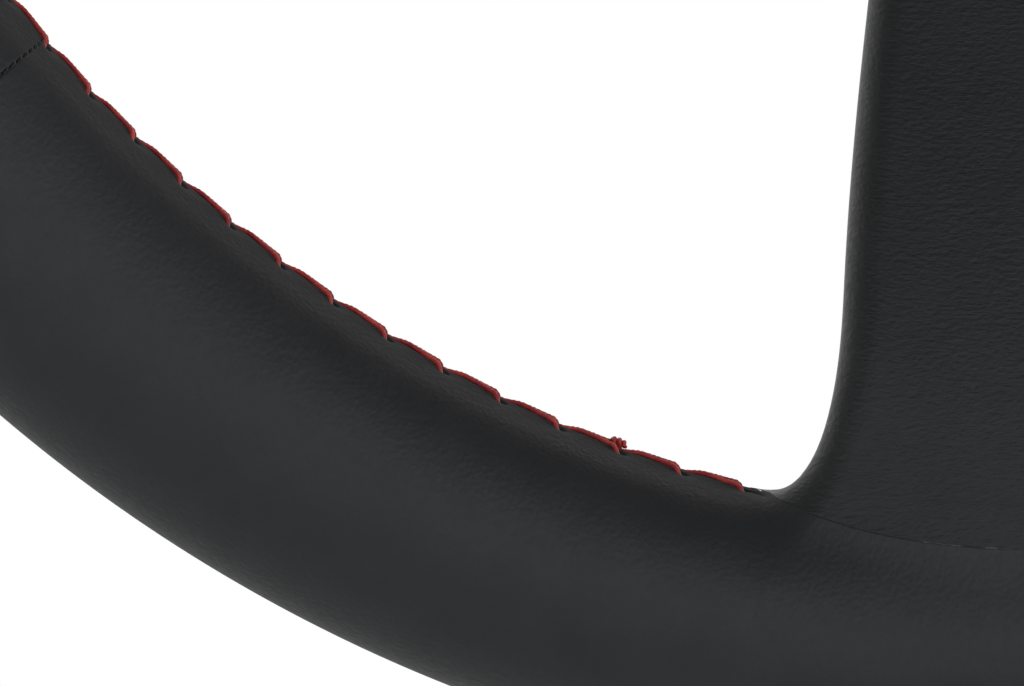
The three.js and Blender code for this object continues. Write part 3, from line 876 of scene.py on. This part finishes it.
def turned(name, outline, segments=128):
    """A solid turned about the column's axis from a closed outline of (radius, depth)."""
    radius, depth = np.transpose(outline) * MM
    turn = 2 * np.pi * np.arange(segments) / segments
    points = np.stack([radius[None] * np.cos(turn)[:, None],
                       np.repeat(-depth[None], segments, 0),
                       radius[None] * np.sin(turn)[:, None]], -1)
    columns = len(outline)
    row = np.arange(segments)[:, None]
    after = (row + 1) % segments
    column = np.arange(columns)[None, :]
    beside = (column + 1) % columns
    quads = np.stack([row * columns + column, row * columns + beside,
                      after * columns + beside, after * columns + column], -1).reshape(-1, 4)
    return raw_object(name, points.reshape(-1, 3), quads.tolist())


def prism(name, outline, low, high):
    """A flat outline of (x, z) between two depths."""
    count = len(outline)
    points = [(x * MM, -depth * MM, z * MM) for depth in (low, high) for x, z in outline]
    faces = [[i, (i + 1) % count, count + (i + 1) % count, count + i] for i in range(count)]
    faces += [list(range(count))[::-1], list(range(count, 2 * count))]
    return raw_object(name, points, faces)


def around(radius, count, turn=0.0):
    """Places (x, z) round the axis, with the first one at an angle from 3 o'clock."""
    turns = [turn + 2 * math.pi * i / count for i in range(count)]
    return [(radius * math.cos(a), radius * math.sin(a)) for a in turns]


def drill(radius, low, high, x=0.0, z=0.0, sides=32, turn=0.0):
    """A cutter for a round hole, or a hexagonal one with six sides."""
    outline = [(x + dx, z + dz) for dx, dz in around(radius, sides, turn)]
    return prism("cutter", outline, low, high)


def six_around(radius=BOLT_CIRCLE):
    return around(radius, 6, math.radians(30))


def finish_piece(piece, node, body, materials, slot):
    """Gives a piece its slot's material and lets it stand for a node."""
    piece.data.materials.clear()
    piece.data.materials.append(materials[slot])
    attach(piece, body)
    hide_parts(node)


# ------ hub and horn


def hub_trim(materials):
    back, front, outer = node_span("hub_trim_ring")
    ring = turned("hub_trim", [
        (29.5, back), (outer, back), (outer, front - 2.2), (outer - 0.7, front - 0.9),
        (outer - 2.2, front - 0.15), (outer - 3.2, front), (30.5, front), (30.1, front - 0.35),
        (29.3, front - 0.35), (28.9, front), (27.5, front), (27.1, front - 0.4),
        (27.1, front - 1.4), (28.3, front - 1.4), (28.3, back + 1.9), (29.5, back + 1.9)])
    counterbore, seat = 4.8, front - 3.5
    cutters = []
    for x, z in six_around():
        cutters.append(drill(BOLT_HOLE, back - 1, front + 1, x, z))
        cutters.append(drill(counterbore, seat, front + 1, x, z, 48))
    carve(ring, cutters)
    soften(ring, 0.22)
    finish_piece(ring, "hub_trim_ring", "wheel", materials, "black_anodised")


def hub_screws(materials):
    for i in range(1, 7):
        node = f"hub_screw_{i}"
        low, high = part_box(node)
        middle = (low + high) / 2
        back, front, _ = node_span(node)
        seat = front - 2.9
        screw = turned(f"screw_{i}", [
            (AXIS, back), (1.9, back), (2.4, back + 0.5), (2.4, seat), (4.3, seat),
            (4.3, seat + 0.9), (4.15, seat + 1.4), (3.7, seat + 1.95), (3, seat + 2.45),
            (2.2, seat + 2.9), (AXIS, seat + 2.9)], 48)
        screw.data.transform(Matrix.Translation((middle.x, 0, middle.z)))
        socket, floor = 1.73, seat + 1.1
        carve(screw, [drill(socket, floor, front + 1, middle.x / MM, middle.z / MM, 6, 0.3 * i)])
        soften(screw, 0.12)
        finish_piece(screw, node, "wheel", materials, "black_oxide")


def horn_button(materials):
    back, front, _ = node_span("horn_button")
    flange = front - 5.8
    outline = [(AXIS, back + 3.2), (4, back + 3.2), (4, flange + 2.7), (20.5, flange + 1.5),
               (20.5, back), (22, back), (22, flange - 1.9), (28, flange - 1.9), (28, flange),
               (26.7, flange), (26.7, flange + 2.2), (26.5, flange + 3), (25.9, flange + 3.7),
               (24.9, flange + 4.15)]
    crown, crown_rise, groove_radius = 23.4, 1.35, 18.7
    for radius in np.linspace(crown, AXIS, 16):
        rise = 4.45 + crown_rise * (1 - (radius / crown) ** 2)
        groove = 0.35 if abs(radius - groove_radius) < 0.9 else 0
        outline.append((radius, flange + rise - groove))
    button = turned("horn_push", outline)
    soften(button, 0.15)
    finish_piece(button, "horn_button", "horn", materials, "black_plastic")
    horn_sign(front, materials)


def horn_sign(front, materials):
    """A plain trumpet with two sound waves, the usual sign of a horn push, on the crown."""
    along = np.linspace(0, 1, 14)
    half_width = 0.75 + 3.6 * along**3.2
    edge = [(-8.2, 1.5), (-7.4, 1.5), *zip(-7.4 + 10 * along, half_width)]
    shapes = [edge + [(x, -z) for x, z in edge[::-1]]]
    wave_centre, wave_width = -1.4, 0.9
    for radius in (6.6, 8.8):
        turns = np.linspace(-0.62, 0.62, 15)
        inner, outer = [
            [(r * math.cos(a) + wave_centre, r * math.sin(a)) for a in turns]
            for r in (radius, radius + wave_width)]
        shapes.append(inner + outer[::-1])
    for i, shape in enumerate(shapes):
        sign = prism(f"horn_sign_{i + 1}", shape, front - 0.9, front + 0.05)
        soften(sign, 0.06)
        sign.data.materials.append(materials["sign"])
        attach(sign, "horn")


# ------ quick release


def sector(points, middle):
    """Places (x, z) of (radius, degrees) points about a direction from the axis."""
    turns = [(radius, middle + math.radians(degrees)) for radius, degrees in points]
    return [(radius * math.cos(a), radius * math.sin(a)) for radius, a in turns]


def spline_outline(minor, major, foot, tip):
    """A star of keyways, each with the full angles of its foot and its tip in degrees."""
    tooth = [(minor, -foot / 2), (major, -tip / 2), (major, tip / 2), (minor, foot / 2)]
    points = []
    for i in range(SPLINE_TEETH):
        points += sector(tooth, 2 * math.pi * i / SPLINE_TEETH)
    return points


def column_hub(materials):
    _, nose, outer = node_span("column_hub")
    groove_centre, groove_radius = 16.9, 4.25
    groove = []
    for angle in np.linspace(-1.05, 1.05, 13):
        groove.append((groove_centre - groove_radius * math.cos(angle),
                       BALL_DEPTH + groove_radius * math.sin(angle)))
    hub = turned("column_boss", [
        (13, 0), (outer - 1, 0), (outer, 1), (outer, 7.5), (outer - 1.5, 9), (19.2, 9),
        (18.6, COLUMN_FLANGE), (17.8, COLUMN_FLANGE), (17.8, 27), (16.8, 28), (14.8, 28.4),
        *groove, (14.8, 48.6), (12.6, 48.6), (12.6, 51.4), (14.8, 51.4), (14.8, nose - 1.5),
        (13.3, nose), (8, nose), (8, 20), (13, 20)])
    half_pitch = 180 / SPLINE_TEETH
    foot, tip = half_pitch - 6, half_pitch - 4
    gap = [(15.6, -foot), (18.4, -tip), (18.4, tip), (15.6, foot)]
    cutters = []
    for i in range(SPLINE_TEETH):
        outline = sector(gap, 2 * math.pi * (i + 0.5) / SPLINE_TEETH)
        cutters.append(prism("cutter", outline, COLUMN_FLANGE, SPLINE_END))
    cutters += [drill(BOLT_HOLE, -1, 10, x, z) for x, z in six_around()]
    carve(hub, cutters)
    soften(hub, 0.2)
    finish_piece(hub, "column_hub", "column_side", materials, "steel")


def quick_release_body(materials):
    back, front, outer = node_span("qr_body")
    flange = front - 9
    body = turned("qr_sleeve", [
        (15, back), (20, back), (21, back + 1), (21, 14.8), (19.9, 14.8), (19.9, 16.7),
        (21, 16.7), (21, flange), (outer - 1.5, flange), (outer, flange + 1.5),
        (outer, flange + 3.4), (outer - 0.7, flange + 3.9), (outer - 0.7, flange + 5.1),
        (outer, flange + 5.6), (outer, front - 0.8), (outer - 0.8, front), (24.5, front),
        (24.5, 69.5), (6, 69.5), (6, 65), (15, 65)])
    cutters = [prism("cutter", spline_outline(15.8, 18.2, 13.5, 9.5), back - 1, SPLINE_END)]
    cutters += [drill(FLANGE_HOLE, flange - 1, front + 1, x, z) for x, z in six_around()]
    for x, z in six_around(BALL_CIRCLE):
        bpy.ops.mesh.primitive_cylinder_add(
            vertices=40, radius=BALL_BORE * MM, depth=10 * MM,
            location=(x * MM, -BALL_DEPTH * MM, z * MM))
        cutter = bpy.context.object
        cutter.rotation_mode = "QUATERNION"
        cutter.rotation_quaternion = Vector((x, 0, z)).to_track_quat("Z", "Y")
        cutters.append(cutter)
    carve(body, cutters)
    soften(body, 0.2)
    finish_piece(body, "qr_body", "wheel", materials, "black_anodised")


def release_collar(materials):
    back, front, _ = node_span("release_collar")
    ridge, ridge_pitch = 30, 3.9
    grip = []
    for i in range(6):
        start = 32.2 + i * ridge_pitch
        grip += [(ridge, start), (29.1, start + 0.7), (29.1, start + 1.9), (ridge, start + 2.6)]
    collar = turned("collar_grip", [
        (21.2, back), (32.4, back), (33.4, back + 0.6), (34, back + 1.6), (34, back + 4.6),
        (33.2, back + 5.6), (31, back + 6.4), (ridge, back + 7.2), *grip, (ridge, front - 1),
        (29, front), (27.2, front), (27.2, 52), (21.2, 52), (21.2, 48.76), (23.54, BALL_DEPTH),
        (23.54, 37.5), (21.2, 37.5)])
    flute = 2.1
    cutters = [drill(flute, back - 1, back + 7.6, x, z, 28) for x, z in around(35.1, 24)]
    carve(collar, cutters)
    soften(collar, 0.18)
    finish_piece(collar, "release_collar", "collar", materials, "red_anodised")


def coil(name, node, radius, wire, turns, material):
    """A round wire spring about the column's axis, with its end turns closed."""
    back, front, _ = node_span(node)
    steps, sides = 48 * turns, 12
    t = np.linspace(0, 1, steps + 1)
    angle = 2 * np.pi * turns * t
    flat = 0.75 / turns
    rise = np.clip((t - flat) / (1 - 2 * flat), 0, 1)
    depth = back + wire + (front - back - 2 * wire) * (0.85 * rise + 0.15 * t)
    out = np.stack([np.cos(angle), np.zeros_like(angle), np.sin(angle)], -1)
    centre = out * radius
    centre[:, 1] = -depth
    ring = 2 * np.pi * np.arange(sides) / sides
    points = centre[:, None] + wire * out[:, None] * np.cos(ring)[:, None]
    points[..., 1] += wire * np.sin(ring)
    faces = grid_faces(steps + 1, sides, close=True).tolist()
    last = steps * sides
    faces += [list(range(sides)), list(range(last, last + sides))[::-1]]
    piece = raw_object(name, points.reshape(-1, 3) * MM, faces)
    piece.data.shade_smooth()
    piece.data.set_sharp_from_angle(angle=math.radians(50))
    piece.data.materials.append(material)
    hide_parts(node)
    return piece, (0, -back * MM, 0), (0, -front * MM, 0)


def springs(materials):
    steel = materials["spring_steel"]
    piece, back, front = coil("collar_spring_wire", "collar_spring", 24.2, 1.1, 5, steel)
    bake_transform(piece)
    piece, back, front = coil("horn_spring_wire", "horn_spring", 8.1, 0.5, 6, steel)
    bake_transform(piece)


def balls(materials):
    for i in range(1, 7):
        low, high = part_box(f"ball_{i}")
        radius = (high.y - low.y) / 2
        bpy.ops.mesh.primitive_uv_sphere_add(segments=32, ring_count=20, radius=radius)
        ball = bpy.context.object
        ball.name = ball.data.name = f"locking_ball_{i}_ground"
        ball.data.transform(Matrix.Translation((low + high) / 2))
        ball.data.shade_smooth()
        finish_piece(ball, f"ball_{i}", f"locking_ball_{i}", materials, "steel")


# ------ assembly


def build_leather(materials):
    edges = [-LOWER_SEAM, UPPER_SEAM, math.pi - UPPER_SEAM, math.pi + LOWER_SEAM,
             2 * math.pi - LOWER_SEAM]
    for i, name in enumerate(["right", "top", "left", "bottom"]):
        rim_panel(name, edges[i], edges[i + 1], materials["rim_leather"])
        seam_thread(f"panel_seam_{name}", edges[i], materials["dark_thread"])
    for name, way in SPOKES.items():
        spoke_cover(name, way, materials["spoke_leather"])
        spoke_seam_painted_highlight(f"spoke_seam_{name}", spoke_angle(way), materials["painted_highlight_thread"])


def build_lacing(materials):
    for name, (first, last, count) in lacing_runs().items():
        lacing(name, first, last, count, materials["thread"])
    first, last, count = lacing_runs()["lacing_left"]
    knot(first + KNOT_PLACE * (last - first) / count, materials["thread"])


def make_materials():
    return {
        # The rim's leather gets painted shade along its laced edge (the last argument)
        "rim_leather": leather_material("rim_nappa_painted_shade", 0.07, (0.030, 0.0315, 0.033), True),
        "spoke_leather": leather_material("spoke_nappa", 1.0, (0.0235, 0.0245, 0.025)),
        "thread": thread_material("red_thread", (0.42, 0.022, 0.03), (0.84, 0.09, 0.06)),
        "dark_thread": thread_material("black_thread", grey(0.006), grey(0.012)),
        # Painted highlight: a pale thread for the light line along the spoke seams
        "painted_highlight_thread": thread_material("painted_highlight_thread", (0.03, 0.03, 0.028), (0.2, 0.195, 0.185)),
        "black_anodised": metal_material("black_anodised", (0.035, 0.036, 0.038), 0.36, 0.85, 0.2),
        "red_anodised": metal_material("red_anodised", (0.52, 0.018, 0.025), 0.3, 1.0, 0.2),
        "steel": metal_material("machined_steel", (0.46, 0.47, 0.49), 0.32, 1.0, 0.04),
        "spring_steel": metal_material("spring_wire", (0.3, 0.31, 0.33), 0.3, 1.0, 0.1),
        "black_oxide": metal_material("black_oxide", (0.03, 0.03, 0.032), 0.33, 0.9, 0.15),
        "bare_aluminium": metal_material("mill_aluminium", (0.62, 0.63, 0.65), 0.38, 1.0, 0.3),
        "brass": metal_material("brass", (0.62, 0.43, 0.17), 0.32),
        "rubber": plain_material("nitrile_rubber", (0.014, 0.014, 0.015), 0.6),
        "foam": plain_material("moulded_foam", (0.02, 0.02, 0.019), 0.85, 0.6, 900),
        "black_plastic": plain_material("moulded_plastic", (0.018, 0.018, 0.019), 0.42, 0.35, 2200),
        "sign": plain_material("sign_paint", grey(0.55), 0.5),
    }


KEPT = {
    "wheel_armature": "bare_aluminium", "rim_core_ring": "bare_aluminium",
    "horn_housing": "black_plastic", "horn_contact_disc": "brass", "horn_terminal_1": "brass",
    "horn_terminal_2": "brass", "collar_circlip": "spring_steel", "shaft_oring": "rubber",
}


def paint_kept_nodes(materials):
    for node, material in KEPT.items():
        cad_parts[node].data.materials.clear()
        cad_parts[node].data.materials.append(materials[material])


# ------ studio


def studio():
    scene = bpy.context.scene
    scene.view_settings.view_transform = "Standard"
    scene.view_settings.look = "None"

    view_width = 112.06 * MM
    distance = 2.0
    camera = bpy.data.cameras.new("camera")
    camera.sensor_width = 36
    camera.lens = camera.sensor_width * distance / view_width
    camera.clip_start, camera.clip_end = 0.05, 50
    camera_object = add_object("camera", camera)
    camera_object.location = (-57.6 * MM, -RIM_DEPTH - distance, -125.2 * MM)
    camera_object.rotation_euler = (math.radians(90), 0, 0)
    scene.camera = camera_object

    world = bpy.data.worlds.new("studio")
    scene.world = world
    world.use_nodes = True
    tree = world.node_tree
    place = tree.nodes.new("ShaderNodeTexCoord").outputs["Generated"]
    way = add_node(tree, "ShaderNodeSeparateXYZ", {0: place}).outputs
    dark_left = 1.6
    leftward = calculated(tree, "MULTIPLY", way["X"], -dark_left)
    leftward = calculated(tree, "MAXIMUM", leftward, 0)
    gain = calculated(tree, "ADD", leftward, 1)
    height = calculated(tree, "MULTIPLY", gain, way["Z"])
    front = mixed(tree, eased(tree, height, 0.42, 0.78), (0.92, 0.933, 0.962), (0.04, 0.045, 0.042))
    light = mixed(tree, eased(tree, way["Y"], 0.0, 0.5), front, grey(0.95))
    camera_ray = tree.nodes.new("ShaderNodeLightPath").outputs["Is Camera Ray"]
    seen = mixed(tree, camera_ray, light, grey(1))
    plug(tree, tree.nodes["Background"], {"Color": seen})

    area_light("key_low_left", (-0.9, -1.1, -0.75), (-0.05, -0.1, -0.1), size=1.0, power=2)
    area_light("top_behind", (0.3, 1.6, 1.2), (0, 0, 0), size=1.6, power=2.5)

    floor_mesh = bpy.data.meshes.new("floor")
    size, height = 1.6, -0.32
    floor_mesh.from_pydata([(-size, -size, height), (size, -size, height), (size, size, height),
                            (-size, size, height)], [], [(0, 1, 2, 3)])
    floor = add_object("floor", floor_mesh)
    pale, tree = new_material("pale_floor")
    surface(tree, {"Base Color": (0.93, 0.93, 0.93, 1), "Roughness": 0.8})
    floor_mesh.materials.append(pale)


def area_light(name, place, target, size, power):
    light = bpy.data.lights.new(name, "AREA")
    light.shape = "DISK"
    light.size = size
    light.energy = power
    lamp = add_object(name, light)
    lamp.location = place
    way = Vector(target) - Vector(place)
    lamp.rotation_euler = way.to_track_quat("-Z", "Y").to_euler()


studio()
MATERIALS = make_materials()
build_leather(MATERIALS)
build_lacing(MATERIALS)
padding(MATERIALS["foam"])
hub_trim(MATERIALS)
hub_screws(MATERIALS)
horn_button(MATERIALS)
column_hub(MATERIALS)
quick_release_body(MATERIALS)
release_collar(MATERIALS)
springs(MATERIALS)
balls(MATERIALS)
paint_kept_nodes(MATERIALS)
